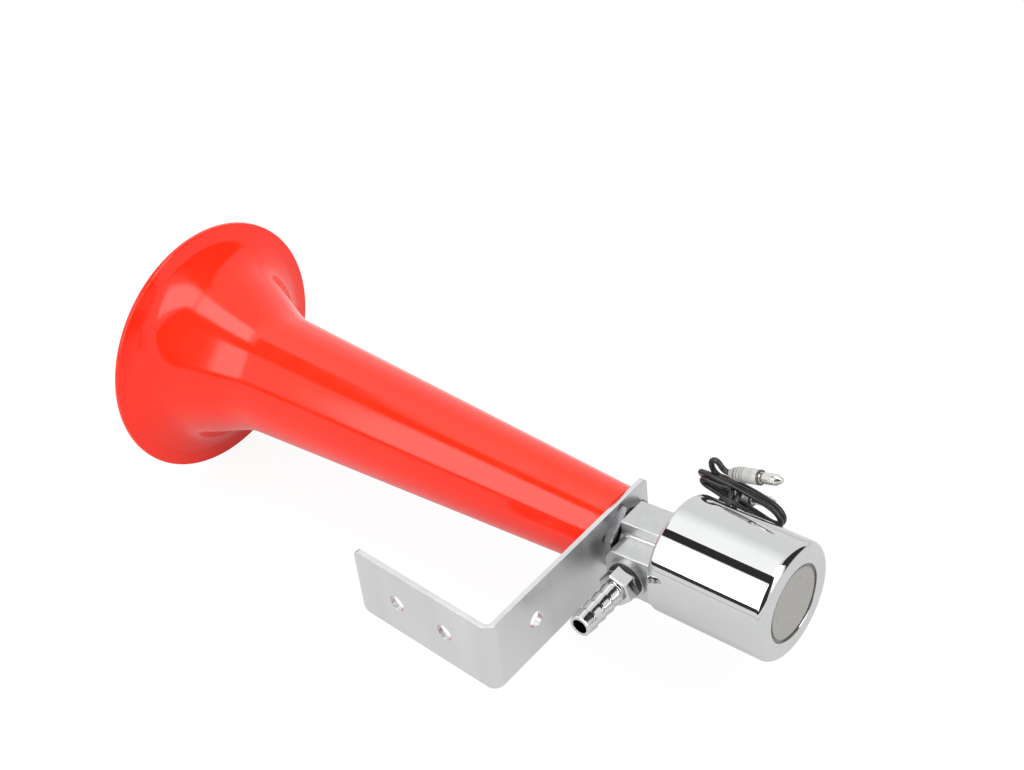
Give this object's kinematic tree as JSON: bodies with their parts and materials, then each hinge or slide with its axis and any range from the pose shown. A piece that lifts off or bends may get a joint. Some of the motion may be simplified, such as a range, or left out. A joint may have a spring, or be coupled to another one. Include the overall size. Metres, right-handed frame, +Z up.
{
  "type": "air horn",
  "caption": "Vehicle air horn: a flared plastic trumpet on an angled bracket, with a hose inlet and a chromed solenoid valve with leads.",
  "frame": {"origin": "midway between the bracket's two bolt holes, on the bracket's mounting face", "axes": "-Y out of the mounting face, +X along the line of the bolt holes towards the solenoid, +Z up; the trumpet's axis leans 4 degrees from X in the horizontal plane, and its mouth faces -X"},
  "size_m": [0.291, 0.1153, 0.1082],
  "materials": {
    "red_plastic": "glossy moulded",
    "zinc_plated_steel": "bright zinc plating",
    "zinc_plated_nut": "bright zinc plating",
    "die_cast_zinc": "satin as cast",
    "chromed_brass": "mirror chrome",
    "chromed_steel": "mirror chrome",
    "seal_rubber": "matte",
    "spring_steel": "bright",
    "plate_metal": "machined",
    "tube_brass": "drawn",
    "soft_iron": "turned",
    "bobbin_plastic": "matte",
    "copper_wire": "enamelled",
    "flux_steel": "pressed",
    "grey_disc": "matte",
    "black_rubber": "matte",
    "lead_insulation": "semi-gloss",
    "clear_sleeve": "translucent",
    "tinned_brass": "tinned"
  },
  "bodies": {
    "horn": {"trumpet": "red_plastic", "mounting_bracket": "zinc_plated_steel", "throat_nut": "zinc_plated_nut", "valve_body": "die_cast_zinc", "inlet_washer": "seal_rubber", "hose_barb": "chromed_brass", "solenoid_can": "chromed_steel", "diaphragm_gasket": "seal_rubber", "diaphragm": "spring_steel", "valve_plate": "plate_metal", "guide_tube": "tube_brass", "guide_tube_seal": "seal_rubber", "return_spring": "spring_steel", "fixed_core": "soft_iron", "coil_bobbin": "bobbin_plastic", "coil_winding": "copper_wire", "rear_flux_plate": "flux_steel", "end_disc": "grey_disc", "lead_grommet": "black_rubber", "lead_a": "lead_insulation", "lead_b": "lead_insulation", "lead_hank": "lead_insulation", "lead_a_tail": "lead_insulation", "lead_b_tail": "lead_insulation", "connector_sleeve_a": "clear_sleeve", "connector_sleeve_b": "clear_sleeve", "bullet_connector_a": "tinned_brass", "bullet_connector_b": "tinned_brass"},
    "plunger": {"plunger": "soft_iron", "plunger_seal": "seal_rubber"}
  },
  "joints": [
    {"name": "plunger_slide", "type": "slide", "parent": "horn", "child": "plunger", "axis": [0.9976, 0.0698, 0], "range_m": [0, 0.002], "stiffness_N_per_m": 500, "springref_m": -0.004, "deforming": ["return_spring"]}
  ]
}
